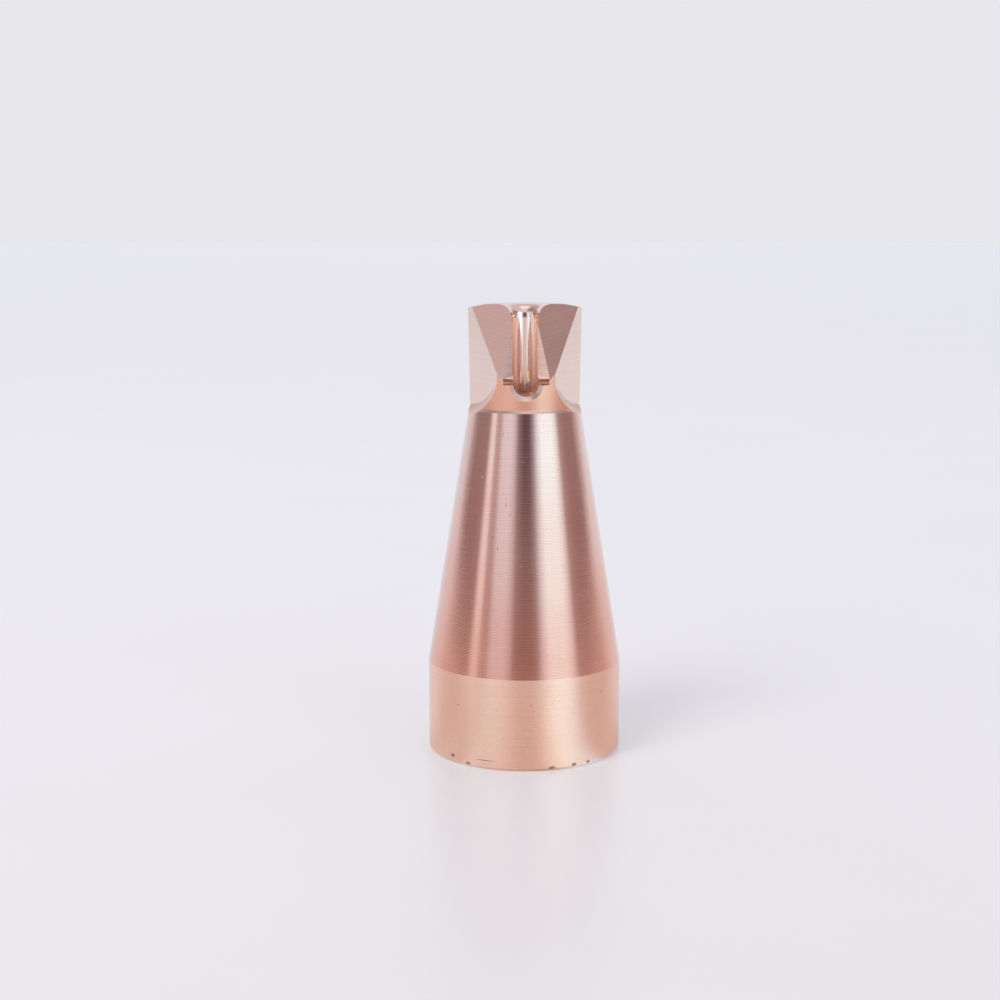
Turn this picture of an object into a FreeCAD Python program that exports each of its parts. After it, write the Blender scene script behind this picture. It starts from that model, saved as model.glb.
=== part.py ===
import FreeCAD, Part
import math
import os
import re

import Sketcher

# A nozzle for hand-held laser welding, turned from one copper bar and then milled at its
# tip. It stands on its open threaded end: z = 0 is that end's face, +Z is the nozzle's
# axis, and the wire slot faces -Y. Lengths are in millimetres, angles in degrees.

SIZES = {
    # Turned outside
    "base_wall": 1.54,
    "base_height": 8.5,
    "base_edge_chamfer": 0.3,
    "cone_top_radius": 5.2,
    "cone_top_height": 32.1,
    "shoulder_height": 0.25,
    "shoulder_step": 0.14,
    "tip_widening": 0.16,
    "total_height": 41.7,
    "rim_bevel_width": 1.5,
    "rim_bevel_drop": 0.28,
    # Bored inside
    "bore_radius": 1.27,
    "mouth_radius": 1.3,
    "bore_length": 9.9,
    "socket_radius": 7.46,
    "socket_depth": 9.0,
    "socket_seat_width": 0.56,
    "socket_chamfer": 0.6,
    # Wire slot, milled from the front
    "slot_width": 2.32,
    "slot_depth": 8.1,
    "slot_edge_chamfer": 0.4,
    # Flats at both sides of the tip, milled with a disc cutter
    "flat_azimuth": 59.5,
    "flat_distance": 4.5,
    "flat_cutter_radius": 8.0,
    "flat_corner_radius": 1.2,
    "flat_cutter_setback": 2.66,
    "flat_cutter_depth": 2.3,
    # Wide notch across the front of the tip
    "notch_lean": 38.1,
    "notch_face_slope": 15.5,
    "notch_depth": 1.64,
    # The slot's upper part opens outwards above a ledge, which has a small step in front
    "flare_angle": 13.5,
    "flare_start": 0.5,
    "ledge_depth": 6.5,
    "step_start": 4.3,
    "step_drop": 0.56,
    "step_corner_radius": 0.5,
    "step_width": 4.18,
    # How far the cutters reach past the metal
    "cutter_overrun": 1.0,
}

# Sizes that follow from others, as formulas
BASE_RADIUS = "(socket_radius + base_wall)"
TIP_ROOT_RADIUS = "(cone_top_radius - shoulder_step)"
TIP_END_RADIUS = "(cone_top_radius - shoulder_step + tip_widening)"
PAST_THE_BASE = BASE_RADIUS + " + cutter_overrun"

SMALLEST_CUT = 0.01


def make_size_sheet(doc):
    """A sheet with one named size in each row."""
    sheet = doc.addObject("Spreadsheet::Sheet", "sizes")
    for row, (name, value) in enumerate(SIZES.items(), start=1):
        sheet.set("A%d" % row, name)
        sheet.set("B%d" % row, str(value))
        sheet.setAlias("B%d" % row, name)
    doc.recompute()
    return sheet


def sized(formula):
    """A formula with each size's name written as a reference to the sheet."""
    return re.sub("[a-z_]+", lambda word: "sizes." + word[0] if word[0] in SIZES else word[0], formula)


def add_sketch(body, name, plane_role):
    """An empty sketch on one of the body's own origin planes."""
    planes = [plane for plane in body.Origin.OriginFeatures if plane.Role == plane_role]
    sketch = body.newObject("Sketcher::SketchObject", name)
    sketch.AttachmentSupport = [(planes[0], "")]
    sketch.MapMode = "FlatFace"
    return sketch


def place_corner(sketch, edge, end, corner):
    """Tie the given end of an edge to its two coordinates."""
    horizontal_axis, vertical_axis = -1, -2
    for kind, axis, formula in zip(("DistanceX", "DistanceY"), (vertical_axis, horizontal_axis), corner):
        if formula == "0":
            sketch.addConstraint(Sketcher.Constraint("PointOnObject", edge, end, axis))
            continue
        value = float(sketch.evalExpression(sized(formula)))
        index = sketch.addConstraint(Sketcher.Constraint(kind, -1, 1, edge, end, value))
        sketch.setExpression("Constraints[%d]" % index, sized(formula))


def draw_outline(sketch, corners, arcs=None):
    """A closed outline through corners that are given as pairs of formulas.

    arcs maps the number of the corner where an arc starts to the formula of its radius and
    to the side on which its centre lies: 1 is left of the way from corner to corner.
    """
    arcs = arcs or {}
    points = []
    for corner in corners:
        x, y = (float(sketch.evalExpression(sized(formula))) for formula in corner)
        points.append(FreeCAD.Vector(x, y, 0))
    count = len(points)
    for number, start in enumerate(points):
        end = points[(number + 1) % count]
        if number not in arcs:
            sketch.addGeometry(Part.LineSegment(start, end), False)
            continue
        formula, side = arcs[number]
        radius = float(sketch.evalExpression(sized(formula)))
        chord = end - start
        across = FreeCAD.Vector(-chord.y, chord.x, 0).normalize() * side
        to_centre = math.sqrt(radius ** 2 - (chord.Length / 2) ** 2)
        centre = (start + end) / 2 + across * to_centre
        middle = centre - across * radius
        sketch.addGeometry(Part.Arc(start, middle, end), False)
    for number, corner in enumerate(corners):
        start_of_edge = point_at(sketch, number, points[number])
        last = (number - 1) % count
        end_of_last = point_at(sketch, last, points[number])
        sketch.addConstraint(Sketcher.Constraint("Coincident", last, end_of_last, number, start_of_edge))
        place_corner(sketch, number, start_of_edge, corner)
    for number, (formula, side) in arcs.items():
        radius = sketch.Geometry[number].Radius
        index = sketch.addConstraint(Sketcher.Constraint("Radius", number, radius))
        sketch.setExpression("Constraints[%d]" % index, sized(formula))


def point_at(sketch, edge, point):
    """1 or 2: which end of the edge lies at the point."""
    return 1 if sketch.getPoint(edge, 1).distanceToPoint(point) < 1e-6 else 2


def check_cut(feature):
    """Stop if a cut took no metal away."""
    feature.Document.recompute()
    before = feature.BaseFeature.Shape.Volume
    after = feature.Shape.Volume
    if before - after < SMALLEST_CUT:
        raise RuntimeError(feature.Name + " cuts nothing")
    print("%-14s takes away %8.3f mm3" % (feature.Name, before - after))


def turn_blank(body):
    """Bar turned to a cylinder, a long cone and a tip, bored through and opened behind."""
    sketch = add_sketch(body, "turned_profile", "XZ_Plane")
    corners = [
        ("socket_radius + socket_chamfer", "0"),
        (BASE_RADIUS + " - base_edge_chamfer", "0"),
        (BASE_RADIUS, "base_edge_chamfer"),
        (BASE_RADIUS, "base_height"),
        ("cone_top_radius", "cone_top_height"),
        (TIP_ROOT_RADIUS, "cone_top_height + shoulder_height"),
        (TIP_END_RADIUS, "total_height - rim_bevel_drop"),
        (TIP_END_RADIUS + " - rim_bevel_width", "total_height"),
        ("bore_radius + mouth_radius", "total_height"),
        ("bore_radius", "total_height - mouth_radius"),
        ("bore_radius", "total_height - bore_length"),
        ("socket_radius - socket_seat_width", "socket_depth"),
        ("socket_radius", "socket_depth"),
        ("socket_radius", "socket_chamfer"),
    ]
    mouth = corners.index(("bore_radius + mouth_radius", "total_height"))
    draw_outline(sketch, corners, {mouth: ("mouth_radius", 1)})
    blank = body.newObject("PartDesign::Revolution", "turned_blank")
    blank.Profile = sketch
    blank.ReferenceAxis = (sketch, ["V_Axis"])
    blank.Angle = 360
    body.Document.recompute()
    return blank


def mill_wire_slot(body):
    """Round-bottomed slot from the front into the bore."""
    sketch = add_sketch(body, "slot_profile", "XZ_Plane")
    half = "slot_width / 2"
    centre_height = "total_height - slot_depth + slot_width / 2"
    corners = [
        ("-slot_width / 2", "total_height + cutter_overrun"),
        ("-slot_width / 2", centre_height),
        ("0", "total_height - slot_depth"),
        (half, centre_height),
        (half, "total_height + cutter_overrun"),
    ]
    draw_outline(sketch, corners, {1: (half, 1), 2: (half, 1)})
    slot = body.newObject("PartDesign::Pocket", "wire_slot")
    slot.Profile = sketch
    slot.Type = "ThroughAll"
    slot.Reversed = True
    check_cut(slot)
    return slot


def break_slot_edge(body, slot):
    """Chamfer where the slot comes out through the tip's outside."""
    slot_x = SIZES["slot_width"] / 2
    names = []
    for number, edge in enumerate(slot.Shape.Edges, start=1):
        middle = edge.valueAt((edge.FirstParameter + edge.LastParameter) / 2)
        outside = math.hypot(middle.x, middle.y) > SIZES["bore_radius"] + SIZES["slot_width"] / 2
        on_slot = abs(middle.x) < slot_x + SMALLEST_CUT and middle.y < 0
        below_rim = middle.z < SIZES["total_height"] - SIZES["rim_bevel_drop"]
        above_cone = middle.z > SIZES["total_height"] - SIZES["slot_depth"] - SMALLEST_CUT
        if outside and on_slot and below_rim and above_cone:
            names.append("Edge%d" % number)
    chamfer = body.newObject("PartDesign::Chamfer", "slot_edge")
    chamfer.Base = (slot, names)
    chamfer.setExpression("Size", sized("slot_edge_chamfer"))
    check_cut(chamfer)
    return chamfer


def mill_side_flats(body):
    """One flat beside the slot, cut by a disc with a rounded corner, and its mirror image."""
    sketch = add_sketch(body, "flat_cutter", "XY_Plane")
    turn = FreeCAD.Rotation(FreeCAD.Vector(0, 0, 1), -1)
    sketch.AttachmentOffset = FreeCAD.Placement(FreeCAD.Vector(0, 0, 1), turn)
    sketch.setExpression("AttachmentOffset.Base.z", sized("total_height - flat_cutter_depth"))
    sketch.setExpression("AttachmentOffset.Rotation.Angle", sized("flat_azimuth - 90"))
    corner_start = "flat_cutter_setback + flat_cutter_radius - flat_corner_radius"
    corners = [
        ("flat_distance", "flat_cutter_setback"),
        (PAST_THE_BASE, "flat_cutter_setback"),
        (PAST_THE_BASE, "flat_cutter_setback + flat_cutter_radius"),
        ("flat_distance + flat_corner_radius", "flat_cutter_setback + flat_cutter_radius"),
        ("flat_distance", corner_start),
    ]
    draw_outline(sketch, corners, {3: ("flat_corner_radius", 1)})
    shaft = sketch.addGeometry(Part.LineSegment(FreeCAD.Vector(0, 1, 0), FreeCAD.Vector(1, 1, 0)), True)
    place_corner(sketch, shaft, 1, ("0", "flat_cutter_setback"))
    place_corner(sketch, shaft, 2, ("flat_distance / 2", "flat_cutter_setback"))
    flat = body.newObject("PartDesign::Groove", "side_flat")
    flat.Profile = sketch
    flat.ReferenceAxis = (sketch, ["Axis0"])
    flat.Angle = 360
    check_cut(flat)
    pair = body.newObject("PartDesign::Mirrored", "side_flats")
    pair.Originals = [flat]
    middle_plane = [plane for plane in body.Origin.OriginFeatures if plane.Role == "YZ_Plane"][0]
    pair.MirrorPlane = (middle_plane, [""])
    body.Tip = pair
    check_cut(pair)
    return pair


def mill_notch(body):
    """Wide V across the front, its valley leaning back from the axis."""
    sketch = add_sketch(body, "notch_profile", "XY_Plane")
    lean = FreeCAD.Rotation(FreeCAD.Vector(1, 0, 0), -1)
    sketch.AttachmentOffset = FreeCAD.Placement(FreeCAD.Vector(0, 0, 1), lean)
    sketch.setExpression("AttachmentOffset.Base.z", sized("total_height - notch_depth"))
    sketch.setExpression("AttachmentOffset.Rotation.Angle", sized("-notch_lean"))
    rise = "-(" + PAST_THE_BASE + ") * tan(notch_face_slope)"
    corners = [
        ("0", "0"),
        ("-(" + PAST_THE_BASE + ")", rise),
        ("-(" + PAST_THE_BASE + ")", "-total_height"),
        (PAST_THE_BASE, "-total_height"),
        (PAST_THE_BASE, rise),
    ]
    draw_outline(sketch, corners)
    notch = body.newObject("PartDesign::Pocket", "notch")
    notch.Profile = sketch
    notch.Type = "ThroughAll"
    notch.Midplane = True
    check_cut(notch)
    return notch


def open_slot_above_ledge(body):
    """Slot walls that spread towards the outside, down to a level ledge."""
    sketch = add_sketch(body, "flare_profile", "XY_Plane")
    sketch.AttachmentOffset = FreeCAD.Placement(FreeCAD.Vector(0, 0, 1), FreeCAD.Rotation())
    sketch.setExpression("AttachmentOffset.Base.z", sized("total_height - ledge_depth"))
    spread = "slot_width / 2 + (" + PAST_THE_BASE + " - flare_start) * tan(flare_angle)"
    corners = [
        ("-slot_width / 2", "-flare_start"),
        ("-(" + spread + ")", "-(" + PAST_THE_BASE + ")"),
        (spread, "-(" + PAST_THE_BASE + ")"),
        ("slot_width / 2", "-flare_start"),
    ]
    draw_outline(sketch, corners)
    flare = body.newObject("PartDesign::Pocket", "slot_flare")
    flare.Profile = sketch
    flare.Type = "ThroughAll"
    flare.Reversed = True
    check_cut(flare)
    return flare


def step_down_ledge(body):
    """Shallow step along the ledge's front, hollow at its foot."""
    sketch = add_sketch(body, "step_profile", "YZ_Plane")
    floor = "total_height - ledge_depth - step_drop"
    corners = [
        ("-step_start", "total_height - ledge_depth"),
        ("-step_start", floor + " + step_corner_radius"),
        ("-step_start - step_corner_radius", floor),
        ("-(" + PAST_THE_BASE + ")", floor),
        ("-(" + PAST_THE_BASE + ")", "total_height - ledge_depth"),
    ]
    draw_outline(sketch, corners, {1: ("step_corner_radius", -1)})
    step = body.newObject("PartDesign::Pocket", "ledge_step")
    step.Profile = sketch
    step.Midplane = True
    step.setExpression("Length", sized("step_width"))
    check_cut(step)
    return step


def check_document(doc, bodies):
    """Stop if any object failed or any piece isn't a sound solid."""
    failed = [item.Name for item in doc.Objects if {"Invalid", "Error"} & set(item.State)]
    unsound = [body.Label for body in bodies if body.Shape.isNull() or not body.Shape.isValid()]
    if failed or unsound:
        raise RuntimeError("failed: %s, unsound: %s" % (failed, unsound))


doc = FreeCAD.newDocument("laser_welding_nozzle")
make_size_sheet(doc)

nozzle = doc.addObject("PartDesign::Body", "nozzle")
nozzle.Label = "welding_nozzle"
turn_blank(nozzle)
wire_slot = mill_wire_slot(nozzle)
break_slot_edge(nozzle, wire_slot)
mill_side_flats(nozzle)
mill_notch(nozzle)
open_slot_above_ledge(nozzle)
step_down_ledge(nozzle)
doc.recompute()

check_document(doc, [nozzle])
os.makedirs("parts", exist_ok=True)
nozzle.Shape.exportStep("parts/" + nozzle.Label + ".step")
box = nozzle.Shape.BoundBox
print("box %.3f x %.3f x %.3f mm, from z %.3f" % (box.XLength, box.YLength, box.ZLength, box.ZMin))
print("volume %.2f mm3 in %d solid" % (nozzle.Shape.Volume, len(nozzle.Shape.Solids)))
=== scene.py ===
import math

import bpy
import numpy as np
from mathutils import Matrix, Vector


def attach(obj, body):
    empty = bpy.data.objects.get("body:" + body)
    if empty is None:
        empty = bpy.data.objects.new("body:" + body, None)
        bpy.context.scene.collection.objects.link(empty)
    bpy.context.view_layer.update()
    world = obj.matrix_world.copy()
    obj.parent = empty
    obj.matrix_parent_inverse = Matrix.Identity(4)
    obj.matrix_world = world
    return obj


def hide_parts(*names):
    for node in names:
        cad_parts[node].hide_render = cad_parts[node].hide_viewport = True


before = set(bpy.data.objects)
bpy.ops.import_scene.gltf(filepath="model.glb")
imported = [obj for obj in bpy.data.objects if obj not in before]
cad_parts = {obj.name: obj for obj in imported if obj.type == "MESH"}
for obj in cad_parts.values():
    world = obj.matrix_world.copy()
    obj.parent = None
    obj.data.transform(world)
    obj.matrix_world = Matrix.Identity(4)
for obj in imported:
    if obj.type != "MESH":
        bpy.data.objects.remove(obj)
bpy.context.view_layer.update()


# Camera
# A long lens at about the height of the tip, looking a little down. The nozzle stands
# turned by a degree and a half, so the camera is a little to the left of its front.
focal_pixels = 1763.1
camera_distance = 0.16275
camera_height = 0.04855
look_down = math.radians(8.75)
nozzle_turn = math.radians(1.6)
look_left = math.radians(-0.8055) + nozzle_turn
camera_data = bpy.data.cameras.new("camera")
camera_data.sensor_width = 36.0
camera_data.lens = focal_pixels * camera_data.sensor_width / 1000
camera_data.clip_start = 0.01
camera = bpy.data.objects.new("camera", camera_data)
camera.location = (
    -camera_distance * math.sin(nozzle_turn),
    -camera_distance * math.cos(nozzle_turn),
    camera_height,
)
camera.rotation_euler = (math.pi / 2 - look_down, 0, -look_left)
bpy.context.scene.collection.objects.link(camera)
bpy.context.scene.camera = camera
bpy.context.scene.view_settings.view_transform = "Standard"


# Studio
# A white tent round the nozzle with soft boxes behind its cloth. The compass is 0 towards
# the camera, 90 to its right and 180 behind the nozzle, and it turns the cloth's colour.
tent_at_compass = [
    (-180, (0.78, 0.80, 0.85)),
    (-128, (0.75, 0.79, 0.86)),
    (-116, (0.50, 0.46, 0.48)),
    (-104, (0.36, 0.28, 0.29)),
    (-80, (0.36, 0.28, 0.29)),
    (-74, (0.40, 0.32, 0.33)),
    (-69, (0.84, 0.86, 0.92)),
    (-66, (0.98, 1.06, 1.12)),
    (-61, (0.96, 1.02, 1.08)),
    (-57, (0.60, 0.52, 0.54)),
    (-50, (0.56, 0.49, 0.52)),
    (-43, (0.83, 0.92, 1.03)),
    (-28, (0.86, 0.96, 1.10)),
    (-20, (0.71, 0.74, 0.85)),
    (-13, (0.32, 0.26, 0.30)),
    (-3, (0.11, 0.09, 0.12)),
    (7, (0.12, 0.10, 0.13)),
    (14, (0.37, 0.37, 0.43)),
    (22, (0.88, 1.06, 1.21)),
    (30, (1.09, 1.52, 1.68)),
    (52, (1.09, 1.52, 1.68)),
    (60, (0.96, 1.12, 1.23)),
    (68, (0.45, 0.40, 0.44)),
    (80, (0.35, 0.26, 0.27)),
    (104, (0.36, 0.28, 0.29)),
    (118, (0.58, 0.54, 0.57)),
    (130, (0.73, 0.78, 0.85)),
    (180, (0.78, 0.80, 0.85)),
]
brightest = 1.7
ceiling_at_compass = [
    (-180, (0.62, 0.60, 0.62)),
    (-62, (0.27, 0.19, 0.20)),
    (0, (0.82, 0.76, 0.76)),
    (62, (0.66, 0.57, 0.59)),
    (180, (0.62, 0.60, 0.62)),
]
warm_foot_colour = (0.47, 0.36, 0.35)
zenith_colour = (0.98, 0.93, 0.91)
backdrop_colour = (0.805, 0.797, 0.838, 1)


def compass_of(nodes, links, place):
    """Where a place or an outlook lies on the compass, from 0 at -180 to 1 at 180."""
    parts = nodes.new("ShaderNodeSeparateXYZ")
    links.new(place, parts.inputs[0])
    forward = nodes.new("ShaderNodeMath")
    forward.operation = "MULTIPLY"
    forward.inputs[1].default_value = -1
    links.new(parts.outputs["Y"], forward.inputs[0])
    compass = nodes.new("ShaderNodeMath")
    compass.operation = "ARCTAN2"
    links.new(parts.outputs["X"], compass.inputs[0])
    links.new(forward.outputs[0], compass.inputs[1])
    compass_part = nodes.new("ShaderNodeMapRange")
    compass_part.inputs["From Min"].default_value = -math.pi
    compass_part.inputs["From Max"].default_value = math.pi
    links.new(compass.outputs[0], compass_part.inputs["Value"])
    return parts, forward, compass_part


def compass_ramp(nodes, links, compass_part, colours_at_compass):
    """A colour ramp that runs once round the compass."""
    ramp_node = nodes.new("ShaderNodeValToRGB")
    links.new(compass_part.outputs[0], ramp_node.inputs["Fac"])
    ramp = ramp_node.color_ramp
    for number, (degrees, colour) in enumerate(colours_at_compass):
        place_on_ramp = (degrees + 180) / 360
        if number < 2:
            stop = ramp.elements[number]
            stop.position = place_on_ramp
        else:
            stop = ramp.elements.new(place_on_ramp)
        stop.color = [part / brightest for part in colour] + [1]
    return ramp_node


tent = bpy.data.worlds.new("tent")
bpy.context.scene.world = tent
tent.use_nodes = True
tent_nodes = tent.node_tree.nodes
tent_links = tent.node_tree.links
tent_nodes.clear()
outlook = tent_nodes.new("ShaderNodeTexCoord")
parts_of_outlook, towards_camera, compass_part = compass_of(
    tent_nodes, tent_links, outlook.outputs["Generated"]
)
cloth = compass_ramp(tent_nodes, tent_links, compass_part, tent_at_compass)
how_low = tent_nodes.new("ShaderNodeMapRange")
how_low.inputs["From Min"].default_value = math.sin(math.radians(11.5))
how_low.inputs["From Max"].default_value = math.sin(math.radians(3))
tent_links.new(parts_of_outlook.outputs["Z"], how_low.inputs["Value"])
in_front = tent_nodes.new("ShaderNodeMapRange")
in_front.inputs["From Min"].default_value = 0.0
in_front.inputs["From Max"].default_value = 0.5
tent_links.new(towards_camera.outputs[0], in_front.inputs["Value"])
warm_share = tent_nodes.new("ShaderNodeMath")
warm_share.operation = "MULTIPLY"
tent_links.new(how_low.outputs[0], warm_share.inputs[0])
tent_links.new(in_front.outputs[0], warm_share.inputs[1])
warm_foot = tent_nodes.new("ShaderNodeMix")
warm_foot.data_type = "RGBA"
warm_foot.blend_type = "LIGHTEN"
warm_foot.inputs["B"].default_value = [part / brightest for part in warm_foot_colour] + [1]
tent_links.new(warm_share.outputs[0], warm_foot.inputs["Factor"])
tent_links.new(cloth.outputs["Color"], warm_foot.inputs["A"])
ceiling = compass_ramp(tent_nodes, tent_links, compass_part, ceiling_at_compass)
how_high = tent_nodes.new("ShaderNodeMapRange")
how_high.interpolation_type = "SMOOTHSTEP"
how_high.inputs["From Min"].default_value = math.sin(math.radians(34))
how_high.inputs["From Max"].default_value = math.sin(math.radians(50))
tent_links.new(parts_of_outlook.outputs["Z"], how_high.inputs["Value"])
wall_or_ceiling = tent_nodes.new("ShaderNodeMix")
wall_or_ceiling.data_type = "RGBA"
tent_links.new(how_high.outputs[0], wall_or_ceiling.inputs["Factor"])
tent_links.new(warm_foot.outputs["Result"], wall_or_ceiling.inputs["A"])
tent_links.new(ceiling.outputs["Color"], wall_or_ceiling.inputs["B"])
near_zenith = tent_nodes.new("ShaderNodeMapRange")
near_zenith.interpolation_type = "SMOOTHSTEP"
near_zenith.inputs["From Min"].default_value = math.sin(math.radians(68))
near_zenith.inputs["From Max"].default_value = math.sin(math.radians(80))
tent_links.new(parts_of_outlook.outputs["Z"], near_zenith.inputs["Value"])
with_zenith = tent_nodes.new("ShaderNodeMix")
with_zenith.data_type = "RGBA"
with_zenith.inputs["B"].default_value = [part / brightest for part in zenith_colour] + [1]
tent_links.new(near_zenith.outputs[0], with_zenith.inputs["Factor"])
tent_links.new(wall_or_ceiling.outputs["Result"], with_zenith.inputs["A"])
tent_light = tent_nodes.new("ShaderNodeBackground")
tent_light.inputs["Strength"].default_value = brightest
tent_links.new(with_zenith.outputs["Result"], tent_light.inputs["Color"])
backdrop = tent_nodes.new("ShaderNodeBackground")
backdrop.inputs["Color"].default_value = backdrop_colour
seen = tent_nodes.new("ShaderNodeLightPath")
seen_or_lit = tent_nodes.new("ShaderNodeMixShader")
tent_out = tent_nodes.new("ShaderNodeOutputWorld")
tent_links.new(seen.outputs["Is Camera Ray"], seen_or_lit.inputs[0])
tent_links.new(tent_light.outputs[0], seen_or_lit.inputs[1])
tent_links.new(backdrop.outputs[0], seen_or_lit.inputs[2])
tent_links.new(seen_or_lit.outputs[0], tent_out.inputs["Surface"])

# A soft box hangs over the nozzle, to the left and in front, and gives it its soft shadow
lamp_data = bpy.data.lights.new("overhead_box", "AREA")
lamp_data.shape = "DISK"
lamp_data.size = 0.28
lamp_data.energy = 2.0
lamp_data.color = (1.0, 0.98, 0.96)
lamp = bpy.data.objects.new("overhead_box", lamp_data)
lamp.location = (-0.26, -0.30, 0.50)
lamp.rotation_euler = Vector(lamp.location).to_track_quat("Z", "Y").to_euler()
lamp.visible_camera = False
lamp.visible_glossy = False
bpy.context.scene.collection.objects.link(lamp)


# Floor
# A sheet of smooth white board that runs out far behind the nozzle, where it meets the
# backdrop in one tone. Part of its white is its own, and for glossy rays only it glows with
# painted reflections of the soft boxes as streaks, along the same compass as the tent.
painted_streaks_at_compass = [
    (-180, (0.00, 0.08, 0.10)),
    (-140, (0.00, 0.10, 0.16)),
    (-120, (0.04, 0.11, 0.14)),
    (-100, (0.00, 0.02, 0.02)),
    (-82, (0.00, 0.00, 0.00)),
    (-68, (0.04, 0.12, 0.16)),
    (-50, (0.02, 0.09, 0.12)),
    (-40, (0.08, 0.28, 0.34)),
    (-28, (0.06, 0.18, 0.22)),
    (-12, (0.04, 0.06, 0.05)),
    (10, (0.02, 0.02, 0.01)),
    (20, (0.14, 0.24, 0.28)),
    (30, (0.24, 0.60, 0.78)),
    (48, (0.20, 0.56, 0.76)),
    (56, (0.06, 0.22, 0.34)),
    (66, (0.00, 0.02, 0.04)),
    (90, (0.00, 0.00, 0.00)),
    (104, (0.00, 0.00, 0.00)),
    (122, (0.06, 0.16, 0.20)),
    (180, (0.00, 0.08, 0.10)),
]
floor_reach = 6.0
floor_mesh = bpy.data.meshes.new("floor")
floor_mesh.from_pydata(
    [
        (-floor_reach, -floor_reach, 0),
        (floor_reach, -floor_reach, 0),
        (floor_reach, floor_reach, 0),
        (-floor_reach, floor_reach, 0),
    ],
    [],
    [(0, 1, 2, 3)],
)
floor = bpy.data.objects.new("floor", floor_mesh)
bpy.context.scene.collection.objects.link(floor)
board = bpy.data.materials.new("white_board")
board.use_nodes = True
board_nodes = board.node_tree.nodes
board_links = board.node_tree.links
board_shader = board_nodes["Principled BSDF"]
board_shader.inputs["Roughness"].default_value = 0.28
board_shader.inputs["Specular IOR Level"].default_value = 0.3
board_place = board_nodes.new("ShaderNodeTexCoord")
board_grain = board_nodes.new("ShaderNodeTexNoise")
board_grain.inputs["Scale"].default_value = 30
board_grain.inputs["Detail"].default_value = 4
board_tone = board_nodes.new("ShaderNodeValToRGB")
board_tone.color_ramp.elements[0].color = (0.44, 0.429, 0.437, 1)
board_tone.color_ramp.elements[1].color = (0.475, 0.463, 0.473, 1)
board_links.new(board_place.outputs["Object"], board_grain.inputs["Vector"])
board_links.new(board_grain.outputs["Fac"], board_tone.inputs["Fac"])
board_links.new(board_tone.outputs["Color"], board_shader.inputs["Base Color"])
board_own = board_nodes.new("ShaderNodeEmission")
board_own.inputs["Color"].default_value = (0.31, 0.31, 0.328, 1)
board_seen = board_nodes.new("ShaderNodeLightPath")
board_direct = board_nodes.new("ShaderNodeMath")
board_direct.operation = "MAXIMUM"
board_links.new(board_seen.outputs["Is Camera Ray"], board_direct.inputs[0])
board_links.new(board_seen.outputs["Is Glossy Ray"], board_direct.inputs[1])
board_links.new(board_direct.outputs[0], board_own.inputs["Strength"])
board_part = compass_of(board_nodes, board_links, board_place.outputs["Object"])[-1]
board_painted_streak_ramp = compass_ramp(board_nodes, board_links, board_part, painted_streaks_at_compass)
# Painted reflection: for glossy rays only, the board glows with streaks of the soft boxes.
board_painted_streaks = board_nodes.new("ShaderNodeEmission")
board_links.new(board_painted_streak_ramp.outputs["Color"], board_painted_streaks.inputs["Color"])
painted_streak_strength = board_nodes.new("ShaderNodeMath")
painted_streak_strength.operation = "MULTIPLY"
painted_streak_strength.inputs[1].default_value = brightest
board_links.new(board_seen.outputs["Is Glossy Ray"], painted_streak_strength.inputs[0])
board_links.new(painted_streak_strength.outputs[0], board_painted_streaks.inputs["Strength"])
board_light = board_nodes.new("ShaderNodeAddShader")
board_links.new(board_own.outputs[0], board_light.inputs[0])
board_links.new(board_painted_streaks.outputs[0], board_light.inputs[1])
board_sum = board_nodes.new("ShaderNodeAddShader")
board_links.new(board_shader.outputs[0], board_sum.inputs[0])
board_links.new(board_light.outputs[0], board_sum.inputs[1])
board_links.new(board_sum.outputs[0], board_nodes["Material Output"].inputs["Surface"])
floor_mesh.materials.append(board)


# Nozzle
# Turned from one bar of red copper, so rings run round it everywhere outside and inside,
# and milled at the tip, where each cut keeps its cutter's marks. The metal stays bare.
# The visible nozzle is the solid's own surface with a finish given to each machined face.
def tool_marks_group():
    """Height of fine parallel cutter marks, from how far a point lies along them."""
    group = bpy.data.node_groups.new("tool_marks", "ShaderNodeTree")
    face = group.interface
    face.new_socket("Travel", in_out="INPUT", socket_type="NodeSocketFloat")
    face.new_socket("Marks per metre", in_out="INPUT", socket_type="NodeSocketFloat")
    face.new_socket("Evenness", in_out="INPUT", socket_type="NodeSocketFloat")
    face.new_socket("Height", in_out="OUTPUT", socket_type="NodeSocketFloat")
    nodes, links = group.nodes, group.links
    start = nodes.new("NodeGroupInput")
    end = nodes.new("NodeGroupOutput")
    steps = nodes.new("ShaderNodeMath")
    steps.operation = "MULTIPLY"
    links.new(start.outputs["Travel"], steps.inputs[0])
    links.new(start.outputs["Marks per metre"], steps.inputs[1])
    loose = nodes.new("ShaderNodeTexNoise")
    loose.noise_dimensions = "1D"
    loose.inputs["Scale"].default_value = 1.0
    loose.inputs["Detail"].default_value = 3
    loose.inputs["Roughness"].default_value = 0.6
    links.new(steps.outputs[0], loose.inputs["W"])
    turns = nodes.new("ShaderNodeMath")
    turns.operation = "MULTIPLY"
    turns.inputs[1].default_value = 2 * math.pi
    links.new(steps.outputs[0], turns.inputs[0])
    wave = nodes.new("ShaderNodeMath")
    wave.operation = "SINE"
    links.new(turns.outputs[0], wave.inputs[0])
    half_wave = nodes.new("ShaderNodeMath")
    half_wave.operation = "MULTIPLY_ADD"
    half_wave.inputs[1].default_value = 0.25
    half_wave.inputs[2].default_value = 0.5
    links.new(wave.outputs[0], half_wave.inputs[0])
    blend = nodes.new("ShaderNodeMix")
    links.new(start.outputs["Evenness"], blend.inputs["Factor"])
    links.new(loose.outputs["Fac"], blend.inputs["A"])
    links.new(half_wave.outputs[0], blend.inputs["B"])
    links.new(blend.outputs["Result"], end.inputs["Height"])
    return group


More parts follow.
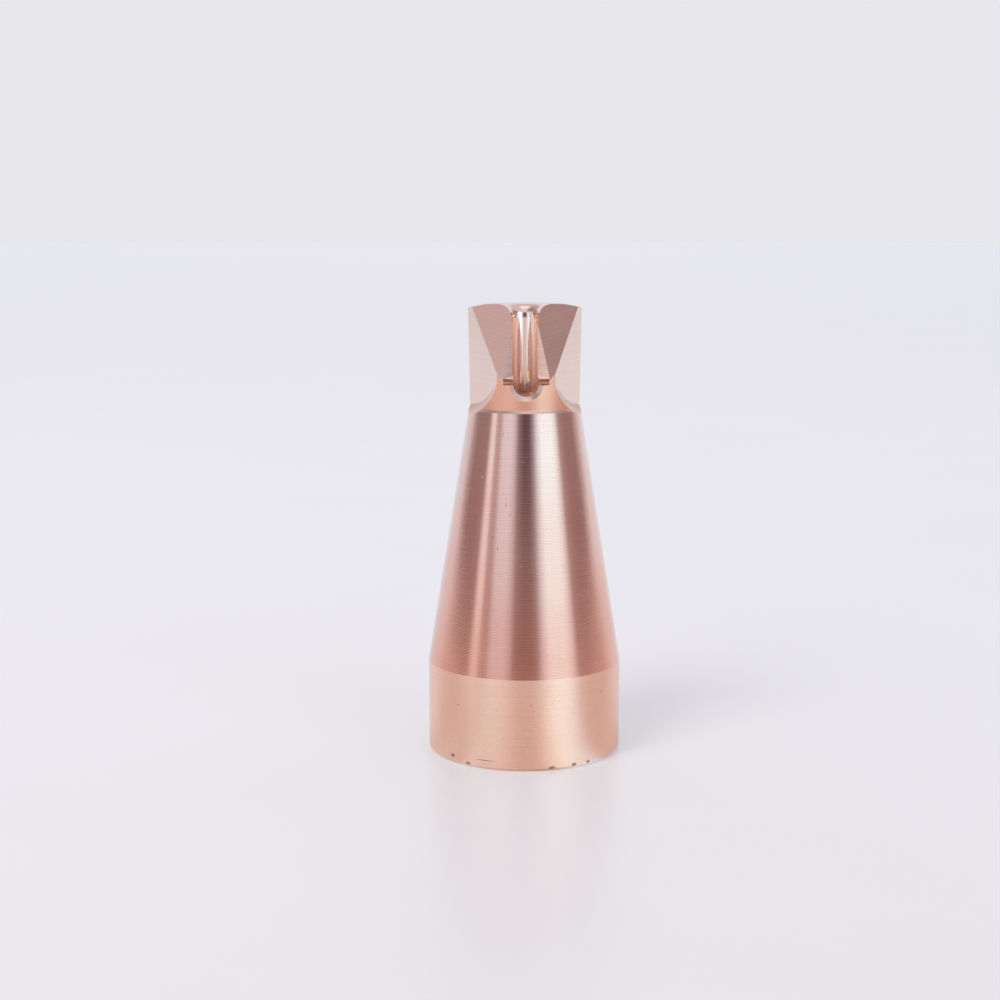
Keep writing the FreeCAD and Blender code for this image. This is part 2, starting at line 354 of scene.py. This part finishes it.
def handling_group():
    """Where fingers and the bench have dulled the metal, and how much its tint has turned."""
    group = bpy.data.node_groups.new("handling", "ShaderNodeTree")
    face = group.interface
    face.new_socket("Place", in_out="INPUT", socket_type="NodeSocketVector")
    face.new_socket("Dull", in_out="OUTPUT", socket_type="NodeSocketFloat")
    face.new_socket("Tint", in_out="OUTPUT", socket_type="NodeSocketFloat")
    face.new_socket("Specks", in_out="OUTPUT", socket_type="NodeSocketFloat")
    nodes, links = group.nodes, group.links
    start = nodes.new("NodeGroupInput")
    end = nodes.new("NodeGroupOutput")
    smears = nodes.new("ShaderNodeTexNoise")
    smears.inputs["Scale"].default_value = 220
    smears.inputs["Detail"].default_value = 5
    smears.inputs["Roughness"].default_value = 0.62
    links.new(start.outputs["Place"], smears.inputs["Vector"])
    links.new(smears.outputs["Fac"], end.inputs["Dull"])
    squeeze = nodes.new("ShaderNodeVectorMath")
    squeeze.operation = "MULTIPLY"
    squeeze.inputs[1].default_value = (1.0, 1.0, 0.55)
    links.new(start.outputs["Place"], squeeze.inputs[0])
    grit = nodes.new("ShaderNodeTexNoise")
    grit.inputs["Scale"].default_value = 5200
    grit.inputs["Detail"].default_value = 2
    links.new(squeeze.outputs[0], grit.inputs["Vector"])
    specks = nodes.new("ShaderNodeMapRange")
    specks.inputs["From Min"].default_value = 0.68
    specks.inputs["From Max"].default_value = 0.77
    links.new(grit.outputs["Fac"], specks.inputs["Value"])
    links.new(specks.outputs[0], end.inputs["Specks"])
    clouds = nodes.new("ShaderNodeTexNoise")
    clouds.inputs["Scale"].default_value = 75
    clouds.inputs["Detail"].default_value = 2
    links.new(start.outputs["Place"], clouds.inputs["Vector"])
    links.new(clouds.outputs["Fac"], end.inputs["Tint"])
    return group


def painted_edge_highlight_group():
    """1 along sharp edges, which are broken by hand; their paler shine is a painted highlight."""
    group = bpy.data.node_groups.new("painted_edge_highlight", "ShaderNodeTree")
    face = group.interface
    face.new_socket("Painted highlight", in_out="OUTPUT", socket_type="NodeSocketFloat")
    nodes, links = group.nodes, group.links
    end = nodes.new("NodeGroupOutput")
    rounded = nodes.new("ShaderNodeBevel")
    rounded.samples = 6
    rounded.inputs["Radius"].default_value = 0.00009
    flat = nodes.new("ShaderNodeNewGeometry")
    match = nodes.new("ShaderNodeVectorMath")
    match.operation = "DOT_PRODUCT"
    links.new(rounded.outputs["Normal"], match.inputs[0])
    links.new(flat.outputs["Normal"], match.inputs[1])
    reach = nodes.new("ShaderNodeMapRange")
    reach.inputs["From Min"].default_value = 0.995
    reach.inputs["From Max"].default_value = 0.95
    links.new(match.outputs["Value"], reach.inputs["Value"])
    links.new(reach.outputs[0], end.inputs["Painted highlight"])
    return group


def nick_group():
    """1 inside an egg-shaped nick, given by its middle and its half sizes, fading at the rim."""
    group = bpy.data.node_groups.new("nick", "ShaderNodeTree")
    face = group.interface
    face.new_socket("Place", in_out="INPUT", socket_type="NodeSocketVector")
    face.new_socket("Middle", in_out="INPUT", socket_type="NodeSocketVector")
    face.new_socket("Half size", in_out="INPUT", socket_type="NodeSocketVector")
    face.new_socket("Nick", in_out="OUTPUT", socket_type="NodeSocketFloat")
    nodes, links = group.nodes, group.links
    start = nodes.new("NodeGroupInput")
    end = nodes.new("NodeGroupOutput")
    away = nodes.new("ShaderNodeVectorMath")
    away.operation = "SUBTRACT"
    links.new(start.outputs["Place"], away.inputs[0])
    links.new(start.outputs["Middle"], away.inputs[1])
    ragged = nodes.new("ShaderNodeVectorMath")
    ragged.operation = "DIVIDE"
    links.new(away.outputs[0], ragged.inputs[0])
    links.new(start.outputs["Half size"], ragged.inputs[1])
    far = nodes.new("ShaderNodeVectorMath")
    far.operation = "LENGTH"
    links.new(ragged.outputs[0], far.inputs[0])
    fade = nodes.new("ShaderNodeMapRange")
    fade.inputs["From Min"].default_value = 1.0
    fade.inputs["From Max"].default_value = 0.45
    links.new(far.outputs["Value"], fade.inputs["Value"])
    links.new(fade.outputs[0], end.inputs["Nick"])
    return group


tool_marks = tool_marks_group()
handling = handling_group()
painted_edge_highlight = painted_edge_highlight_group()
nick_shape = nick_group()


def copper_finish(
    name, colour, turned_colour, roughness, dulling, direction, pitch, depth, evenness=0.0,
    groove_painted_shade=0.12, edge_highlight=0.6, round_marks=False, nicks=(), warm_from=None, warm_to=None,
    metal=1.0, speck_shade=0.1,
):
    """Bare copper with cutter marks: their travel is the way along direction, or the radius.

    Its tint turns from the first colour to the second in clouds, and also on the way down
    from the height warm_from to warm_to. Each nick has a middle, half sizes and a colour.
    A metal share under 1 gives the matt look of a coarsely cut face.
    """
    material = bpy.data.materials.new(name)
    material.use_nodes = True
    nodes = material.node_tree.nodes
    links = material.node_tree.links
    shader = nodes["Principled BSDF"]
    shader.inputs["Metallic"].default_value = metal
    place = nodes.new("ShaderNodeTexCoord")
    along = nodes.new("ShaderNodeVectorMath")
    if round_marks:
        flatten = nodes.new("ShaderNodeVectorMath")
        flatten.operation = "MULTIPLY"
        flatten.inputs[1].default_value = (1, 1, 0)
        links.new(place.outputs["Object"], flatten.inputs[0])
        along.operation = "LENGTH"
        links.new(flatten.outputs[0], along.inputs[0])
    else:
        along.operation = "DOT_PRODUCT"
        along.inputs[1].default_value = direction
        links.new(place.outputs["Object"], along.inputs[0])
    marks = nodes.new("ShaderNodeGroup")
    marks.node_tree = tool_marks
    marks.inputs["Marks per metre"].default_value = 1 / pitch
    marks.inputs["Evenness"].default_value = evenness
    links.new(along.outputs["Value"], marks.inputs["Travel"])
    touch = nodes.new("ShaderNodeGroup")
    touch.node_tree = handling
    links.new(place.outputs["Object"], touch.inputs["Place"])

    tint = nodes.new("ShaderNodeMapRange")
    tint.inputs["From Min"].default_value = 0.35
    tint.inputs["From Max"].default_value = 0.68
    links.new(touch.outputs["Tint"], tint.inputs["Value"])
    tinted = nodes.new("ShaderNodeMix")
    tinted.data_type = "RGBA"
    tinted.inputs["A"].default_value = (*colour, 1)
    tinted.inputs["B"].default_value = (*turned_colour, 1)
    turned_share = tint.outputs[0]
    if warm_from is not None:
        heights = nodes.new("ShaderNodeSeparateXYZ")
        links.new(place.outputs["Object"], heights.inputs[0])
        warmth = nodes.new("ShaderNodeMapRange")
        warmth.inputs["From Min"].default_value = warm_from
        warmth.inputs["From Max"].default_value = warm_to
        links.new(heights.outputs["Z"], warmth.inputs["Value"])
        mixed_share = nodes.new("ShaderNodeMath")
        mixed_share.operation = "MULTIPLY_ADD"
        mixed_share.use_clamp = True
        mixed_share.inputs[1].default_value = 0.3
        links.new(tint.outputs[0], mixed_share.inputs[0])
        links.new(warmth.outputs[0], mixed_share.inputs[2])
        turned_share = mixed_share.outputs[0]
    links.new(turned_share, tinted.inputs["Factor"])
    # Painted shade: the colour is darkened along the grooves of the cutter marks, on top of their
    # bump.
    painted_groove_shade = nodes.new("ShaderNodeMapRange")
    painted_groove_shade.inputs["From Min"].default_value = 0.3
    painted_groove_shade.inputs["From Max"].default_value = 0.7
    painted_groove_shade.inputs["To Min"].default_value = 1 - groove_painted_shade
    painted_groove_shade.inputs["To Max"].default_value = 1.0
    links.new(marks.outputs["Height"], painted_groove_shade.inputs["Value"])
    marked = nodes.new("ShaderNodeVectorMath")
    marked.operation = "SCALE"
    links.new(tinted.outputs["Result"], marked.inputs[0])
    links.new(painted_groove_shade.outputs[0], marked.inputs["Scale"])
    # Painted highlight: along sharp edges the colour turns paler, standing in for the shine of
    # their broken rims.
    edges = nodes.new("ShaderNodeGroup")
    edges.node_tree = painted_edge_highlight
    edge_highlight_share = nodes.new("ShaderNodeMath")
    edge_highlight_share.operation = "MULTIPLY"
    edge_highlight_share.inputs[1].default_value = edge_highlight
    links.new(edges.outputs["Painted highlight"], edge_highlight_share.inputs[0])
    edge_highlighted = nodes.new("ShaderNodeMix")
    edge_highlighted.data_type = "RGBA"
    edge_highlighted.inputs["B"].default_value = (0.97, 0.80, 0.73, 1)
    links.new(edge_highlight_share.outputs[0], edge_highlighted.inputs["Factor"])
    links.new(marked.outputs[0], edge_highlighted.inputs["A"])
    finished_colour = edge_highlighted.outputs["Result"]
    speck_share = nodes.new("ShaderNodeMath")
    speck_share.operation = "MULTIPLY"
    speck_share.inputs[1].default_value = speck_shade
    links.new(touch.outputs["Specks"], speck_share.inputs[0])
    nick_colours = [(speck_share.outputs[0], (0.22, 0.12, 0.10))]
    for middle, half_size, nick_colour in nicks:
        nick = nodes.new("ShaderNodeGroup")
        nick.node_tree = nick_shape
        nick.inputs["Middle"].default_value = [part / 1000 for part in middle]
        nick.inputs["Half size"].default_value = [part / 1000 for part in half_size]
        links.new(place.outputs["Object"], nick.inputs["Place"])
        nick_colours.append((nick.outputs["Nick"], nick_colour))
    for share, nick_colour in nick_colours:
        stained = nodes.new("ShaderNodeMix")
        stained.data_type = "RGBA"
        stained.inputs["B"].default_value = (*nick_colour, 1)
        links.new(share, stained.inputs["Factor"])
        links.new(finished_colour, stained.inputs["A"])
        finished_colour = stained.outputs["Result"]
    links.new(finished_colour, shader.inputs["Base Color"])

    gloss = nodes.new("ShaderNodeMapRange")
    gloss.inputs["From Min"].default_value = 0.3
    gloss.inputs["From Max"].default_value = 0.75
    gloss.inputs["To Min"].default_value = roughness
    gloss.inputs["To Max"].default_value = roughness + dulling
    links.new(touch.outputs["Dull"], gloss.inputs["Value"])
    roughness_now = gloss.outputs[0]
    if warm_from is not None:
        duller_down = nodes.new("ShaderNodeMath")
        duller_down.operation = "MULTIPLY_ADD"
        duller_down.inputs[1].default_value = 0.04
        links.new(warmth.outputs[0], duller_down.inputs[0])
        links.new(gloss.outputs[0], duller_down.inputs[2])
        roughness_now = duller_down.outputs[0]
    links.new(roughness_now, shader.inputs["Roughness"])
    relief = nodes.new("ShaderNodeBump")
    relief.inputs["Strength"].default_value = 1.0
    relief.inputs["Distance"].default_value = depth
    links.new(marks.outputs["Height"], relief.inputs["Height"])
    links.new(relief.outputs["Normal"], shader.inputs["Normal"])
    return material


up = (0, 0, 1)
down_left_lobe = (0.17, 0.60, 0.78)
down_right_lobe = (-0.17, 0.60, 0.78)
red_copper = (0.93, 0.65, 0.57)
low_copper = (0.86, 0.42, 0.32)
warm_copper = (0.93, 0.56, 0.46)
dirt = (0.30, 0.16, 0.13)
# Painted glint: a pale nick's near-white colour stands in for the light that its facet catches.
painted_glint = (0.99, 0.95, 0.92)
cone_nicks = [
    ((-3.98, -4.65, 26.33), (0.22, 0.22, 0.09), painted_glint),
    ((-1.84, -6.23, 24.00), (0.035, 0.30, 0.36), dirt),
    ((-1.48, -6.47, 23.14), (0.03, 0.30, 0.24), dirt),
    ((-0.25, -6.00, 27.80), (0.16, 0.30, 0.05), painted_glint),
    ((-0.50, -7.25, 18.60), (0.18, 0.30, 0.06), painted_glint),
    ((-2.60, -6.60, 20.10), (0.04, 0.40, 0.20), dirt),
    ((-2.95, -7.20, 14.60), (0.04, 0.40, 0.26), dirt),
    ((4.10, -4.90, 25.50), (0.10, 0.30, 0.05), painted_glint),
    ((2.30, -7.60, 13.20), (0.04, 0.30, 0.18), dirt),
]
base_nicks = [
    ((-6.69, -6.01, 0.72), (0.30, 0.30, 0.22), dirt),
    ((-5.31, -7.27, 0.30), (0.34, 0.34, 0.20), dirt),
    ((2.30, -8.70, 0.30), (0.42, 0.42, 0.20), dirt),
    ((4.34, -7.89, 0.34), (0.34, 0.34, 0.26), dirt),
    ((5.67, -6.98, 0.34), (0.30, 0.30, 0.20), dirt),
    ((-3.80, -8.16, 0.86), (1.30, 0.80, 0.045), dirt),
    ((-6.20, -6.53, 5.60), (0.08, 0.30, 0.07), dirt),
    ((0.40, -9.00, 6.20), (0.12, 0.30, 0.06), dirt),
    ((6.90, -5.78, 6.60), (0.09, 0.30, 0.09), dirt),
]
finishes = {
    "cone": copper_finish(
        "turned_cone", red_copper, low_copper, 0.085, 0.06, up, 0.000135, 0.0000026,
        evenness=0.6, groove_painted_shade=0.14, nicks=cone_nicks, warm_from=0.029, warm_to=0.008,
        speck_shade=0.4,
    ),
    "base": copper_finish(
        "turned_base", (0.93, 0.56, 0.43), (0.92, 0.52, 0.38), 0.24, 0.08, up, 0.00014,
        0.0000170, evenness=0.6, groove_painted_shade=0.06, nicks=base_nicks, speck_shade=0.25,
    ),
    "tip": copper_finish(
        "turned_tip", red_copper, warm_copper, 0.12, 0.07, up, 0.00011, 0.0000030,
    ),
    "shoulder": copper_finish(
        "cone_edge", (0.98, 0.76, 0.67), (0.97, 0.72, 0.62), 0.25, 0.05, up, 0.00011,
        0.0000010, edge_highlight=0.9,
    ),
    "band": copper_finish(
        "front_band", (0.89, 0.46, 0.33), (0.88, 0.42, 0.28), 0.34, 0.06, up, 0.00011,
        0.0000030, groove_painted_shade=0.06,
    ),
    "lobe": copper_finish(
        "milled_notch_left", (0.95, 0.67, 0.62), (0.95, 0.60, 0.53), 0.30, 0.06,
        down_left_lobe, 0.00017, 0.0000120, evenness=0.7, groove_painted_shade=0.30,
    ),
    "right_lobe": copper_finish(
        "milled_notch_right", (0.95, 0.67, 0.62), (0.95, 0.60, 0.53), 0.30, 0.06,
        down_right_lobe, 0.00017, 0.0000120, evenness=0.7, groove_painted_shade=0.30,
    ),
    "flat": copper_finish(
        "milled_flat", (0.96, 0.73, 0.65), (0.95, 0.69, 0.60), 0.17, 0.06, up, 0.00022,
        0.0000015, groove_painted_shade=0.04,
    ),
    "run_out": copper_finish(
        "milled_run_out", (0.93, 0.66, 0.57), (0.92, 0.62, 0.52), 0.30, 0.06, up, 0.00022,
        0.0000015, groove_painted_shade=0.05, edge_highlight=0.3,
    ),
    "strip": copper_finish(
        "milled_flare", (1.0, 0.74, 0.69), (0.98, 0.67, 0.61), 0.45, 0.08, (0, 0.095, 1),
        0.00019, 0.0000300, evenness=0.3, groove_painted_shade=0.30, metal=0.0,
    ),
    "slot": copper_finish(
        "milled_slot", (0.99, 0.72, 0.59), (0.98, 0.68, 0.54), 0.12, 0.04, up, 0.00012,
        0.0000020, groove_painted_shade=0.06,
    ),
    "bore": copper_finish(
        "reamed_bore", (1.0, 0.79, 0.70), (0.99, 0.75, 0.65), 0.07, 0.03, up, 0.00012,
        0.0000008, groove_painted_shade=0.03,
    ),
    "bore_foot": copper_finish(
        "bore_foot", (1.0, 0.73, 0.60), (0.99, 0.67, 0.53), 0.22, 0.05, up, 0.00012, 0.0000020,
        groove_painted_shade=0.06, metal=0.5,
    ),
    "edge": copper_finish(
        "broken_edge", (0.97, 0.74, 0.65), (0.96, 0.70, 0.60), 0.32, 0.06, up, 0.00010,
        0.0000020, edge_highlight=0.2,
    ),
    # Painted shade: the small hollow under each flare is coloured dark red, standing in for the
    # shade and copper-tinted reflections inside it.
    "painted_shade_scoop": copper_finish(
        "hollow_step_painted_shade", (0.62, 0.26, 0.15), (0.50, 0.20, 0.11), 0.35, 0.08, up, 0.00008,
        0.0000030, edge_highlight=0.2,
    ),
    "face": copper_finish(
        "faced_end", (0.94, 0.70, 0.63), red_copper, 0.20, 0.06, up, 0.00010, 0.0000030,
        round_marks=True,
    ),
    "inside": copper_finish(
        "turned_inside", (0.90, 0.56, 0.45), (0.86, 0.50, 0.38), 0.24, 0.08, up, 0.00020,
        0.0000080,
    ),
}
finish_numbers = {name: number for number, name in enumerate(finishes)}


def face_of_nozzle(middles, normals):
    """The finish of each face of the mesh, from where it lies and which way it looks.

    Lengths are in millimetres. A cut face is told by its plane: the notch looks forward and
    up, the flats look sideways, the flare looks at the slot, the rest goes by its radius.
    """
    base_top, cone_top, tip_start, ledge, rim = 8.5, 32.1, 32.34, 35.2, 41.4
    base_side, shoulder_side, tip_side = 9.0, 5.2, 5.06
    notch_up, flat_across, flat_forward, flare_across = 0.594, 0.862, 0.507, 0.972
    seat_height, bore_start, bore_side, slot_side = 9, 31.9, 1.3, 1.17
    x, y, z = middles.T * 1000
    nx, ny, nz = normals.T
    radius = np.hypot(x, y)
    outwards = (nx * x + ny * y) / np.maximum(radius, 1e-6)
    side = np.abs(x)
    kind = np.full(len(x), finish_numbers["cone"])

    def give(name, where):
        kind[where] = finish_numbers[name]

    sideways = np.abs(ny * x - nx * y) / np.maximum(radius, 1e-6)
    cone_side = base_side - (z - base_top) * (base_side - shoulder_side) / (cone_top - base_top)
    turned_radius = np.where(z < cone_top, cone_side, tip_side)
    on_flat = (np.abs(np.abs(nx) - flat_across) < 0.02) & (np.abs(ny + flat_forward) < 0.02)
    on_notch = np.abs(nz - notch_up) < 0.02
    looks_in = outwards < -0.1

    give("base", (z < base_top + 0.01) & (outwards > 0.3))
    give("tip", (z > cone_top - 0.01) & (outwards > 0.3))
    give("shoulder", (z > cone_top - 0.01) & (z < cone_top + 0.26) & (nz > 0.3))
    give("band", (z > tip_start) & (z < ledge + 0.5) & (y < 0) & (side < 4.1) & (outwards > 0.9)
         & (radius > 4.9))
    give("face", (z > rim) & (nz > 0.9))
    give("inside", (looks_in & (z < bore_start)) | (np.abs(z - seat_height) < 0.01) | (z < 0.001))
    give("bore", (looks_in & (z >= bore_start) & (radius < 2.65))
         | ((z > 39.4) & (radius < 2.6) & (nz < 0.98)))
    give("bore_foot", looks_in & (z >= bore_start) & (z < 34.9) & (radius < bore_side))
    give("slot", (side < slot_side) & (y < -0.4) & (z > 33.5) & (radius > bore_side) & (z < 40))
    give("lobe", (np.abs(nx - 0.267) < 0.02) & on_notch & (z > 34.5))
    give("right_lobe", (np.abs(nx + 0.267) < 0.02) & on_notch & (z > 34.5))
    give("run_out", (side > 2.38) & (z > 30.4) & (z < ledge + 0.1) & (y < -0.1) & ~on_flat
         & ~on_notch & (outwards > 0) & ((sideways > 0.05) | (radius < turned_radius - 0.03)))
    give("flat", on_flat & (side > 2.6) & (z > 32.6))
    give("strip", (np.abs(np.abs(nx) - flare_across) < 0.01) & (side < 2.25) & (z > ledge - 0.05))
    give("strip", (nz > 0.98) & (np.abs(z - ledge) < 0.02))
    give("edge", (np.abs(radius - 4.9) < 0.35) & (side < 1.58) & (z > 33.1) & (z < ledge) & (y < 0)
         & (outwards < 0.95))
    give("painted_shade_scoop", (y < -4.2) & (z > 34.63) & (z < ledge + 0.05) & (side > 1.16) & (side < 2.15)
         & ~on_notch & (outwards < 0.98) & (radius < 5.05) & (nz > -0.1))
    return kind


def machined_skin(solid_mesh, left_out, turned_forward):
    """The solid's own surface, corner normals and all, without the faces that are left out.

    On the turned faces the normal used for shading leans to the front: the photograph shows
    those faces more turned to the camera than the solid has them.
    """
    point_count, face_count = len(solid_mesh.vertices), len(solid_mesh.polygons)
    points = np.empty(point_count * 3)
    corners = np.empty(face_count * 3, dtype=int)
    corner_normals = np.empty(face_count * 9)
    solid_mesh.vertices.foreach_get("co", points)
    solid_mesh.loops.foreach_get("vertex_index", corners)
    solid_mesh.corner_normals.foreach_get("vector", corner_normals)
    corner_normals = corner_normals.reshape(-1, 3, 3)
    leaning = corner_normals[turned_forward] + (0, -0.75, 0)
    corner_normals[turned_forward] = leaning / np.linalg.norm(leaning, axis=-1, keepdims=True)
    kept_corners = corners.reshape(-1, 3)[~left_out]
    used, renumbered = np.unique(kept_corners, return_inverse=True)
    skin = bpy.data.meshes.new("copper_nozzle")
    skin.from_pydata(points.reshape(-1, 3)[used], [], renumbered.reshape(-1, 3))
    skin.polygons.foreach_set("use_smooth", np.ones(len(kept_corners), dtype=bool))
    skin.normals_split_custom_set(corner_normals[~left_out].reshape(-1, 3))
    return skin


solid_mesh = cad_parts["welding_nozzle"].data
middles = np.empty(len(solid_mesh.polygons) * 3)
normals = np.empty(len(solid_mesh.polygons) * 3)
solid_mesh.polygons.foreach_get("center", middles)
solid_mesh.polygons.foreach_get("normal", normals)
middles, normals = middles.reshape(-1, 3), normals.reshape(-1, 3)
kinds = face_of_nozzle(middles, normals)

core_radius, root_radius, entry_radius, socket_depth = 0.00746, 0.0080, 0.00806, 0.0090
from_axis = np.hypot(middles[:, 0], middles[:, 1])
outwards = (normals[:, :2] * middles[:, :2]).sum(axis=1) / np.maximum(from_axis, 1e-9)
threaded = (outwards < -0.5) & (middles[:, 2] < socket_depth) & (from_axis > core_radius - 0.0001)
nozzle_mesh = machined_skin(solid_mesh, threaded, kinds == finish_numbers["strip"])
nozzle = bpy.data.objects.new("copper_nozzle", nozzle_mesh)
bpy.context.scene.collection.objects.link(nozzle)
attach(nozzle, "root")
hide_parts("welding_nozzle")
for finish in finishes.values():
    nozzle_mesh.materials.append(finish)
nozzle_mesh.polygons.foreach_set("material_index", kinds[~threaded])
nozzle_mesh.update()


# Thread in the socket
# The fine thread by which the nozzle screws onto the torch, cut into the socket's wall. It
# starts in the entry chamfer and runs out shortly before the seat.
thread_pitch = 0.001
run_out_start, run_out_end = 0.0074, 0.0081


def thread_wall(turn, height):
    """Radius of the wall: core plus a trapezoid wave that climbs one pitch in each turn.

    The wave is cut off by the entry chamfer's cone below and fades to the core above.
    """
    phase = (height / thread_pitch - turn / (2 * math.pi)) % 1.0
    wave = np.clip(2.2 * (1 - np.abs(2 * phase - 1)) - 0.35, 0, 1)
    fade = np.clip((run_out_end - height) / (run_out_end - run_out_start), 0, 1)
    radius = core_radius + (root_radius - core_radius) * wave * fade
    return np.maximum(radius, entry_radius - height)


turns, heights = np.meshgrid(
    np.linspace(0, 2 * math.pi, 180, endpoint=False),
    np.linspace(0, socket_depth, 181),
    indexing="ij",
)
radii = thread_wall(turns, heights)
thread_points = np.stack(
    [radii * np.cos(turns), radii * np.sin(turns), heights], axis=-1
).reshape(-1, 3)
columns, rows = turns.shape
here = np.arange(columns * rows).reshape(columns, rows)
beside = np.roll(here, -1, axis=0)
thread_faces = np.stack(
    [here[:, :-1], here[:, 1:], beside[:, 1:], beside[:, :-1]], axis=-1
).reshape(-1, 4)
thread_mesh = bpy.data.meshes.new("socket_thread")
thread_mesh.from_pydata(thread_points, [], thread_faces)
thread_mesh.polygons.foreach_set("use_smooth", np.ones(len(thread_faces), dtype=bool))
thread = bpy.data.objects.new("socket_thread", thread_mesh)
bpy.context.scene.collection.objects.link(thread)
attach(thread, "root")
thread_mesh.materials.append(
    copper_finish(
        "cut_thread", (0.91, 0.58, 0.47), (0.86, 0.50, 0.38), 0.26, 0.08, up, 0.00012, 0.0000030
    )
)
